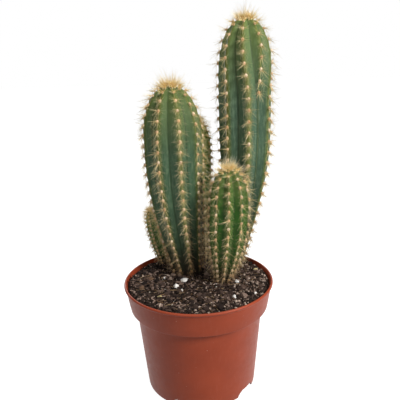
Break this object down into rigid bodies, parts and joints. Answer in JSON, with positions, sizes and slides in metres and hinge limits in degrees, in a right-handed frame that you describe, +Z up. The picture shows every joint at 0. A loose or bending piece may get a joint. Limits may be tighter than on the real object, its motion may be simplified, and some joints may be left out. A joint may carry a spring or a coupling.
{
  "type": "potted column cactus",
  "caption": "Group of ribbed columnar cactus stems of different heights growing in potting soil in a round stepped-rim nursery pot.",
  "frame": {"origin": "middle of the pot's base, on the plane the pot stands on", "axes": "+Z up along the pot's axis and the stems, -Y towards the front of the plant"},
  "size_m": [0.1242, 0.12, 0.29],
  "materials": {
    "pot_plastic": "satin terracotta-coloured plastic",
    "soil": "loose peat potting soil",
    "stem_skin": "waxy blue-green skin",
    "perlite": "rough white mineral",
    "husk": "dry pale husk",
    "bark": "rough brown bark"
  },
  "bodies": {
    "root": {"pot": "pot_plastic", "soil": "soil", "column_tall": "stem_skin", "column_left": "stem_skin", "column_front": "stem_skin", "column_back": "stem_skin", "pup_left": "stem_skin", "perlite_1": "perlite", "perlite_2": "perlite", "perlite_3": "perlite", "perlite_4": "perlite", "perlite_5": "perlite", "perlite_6": "perlite", "perlite_7": "perlite", "perlite_8": "perlite", "husk_1": "husk", "husk_2": "husk", "bark_1": "bark", "bark_2": "bark"}
  },
  "joints": []
}
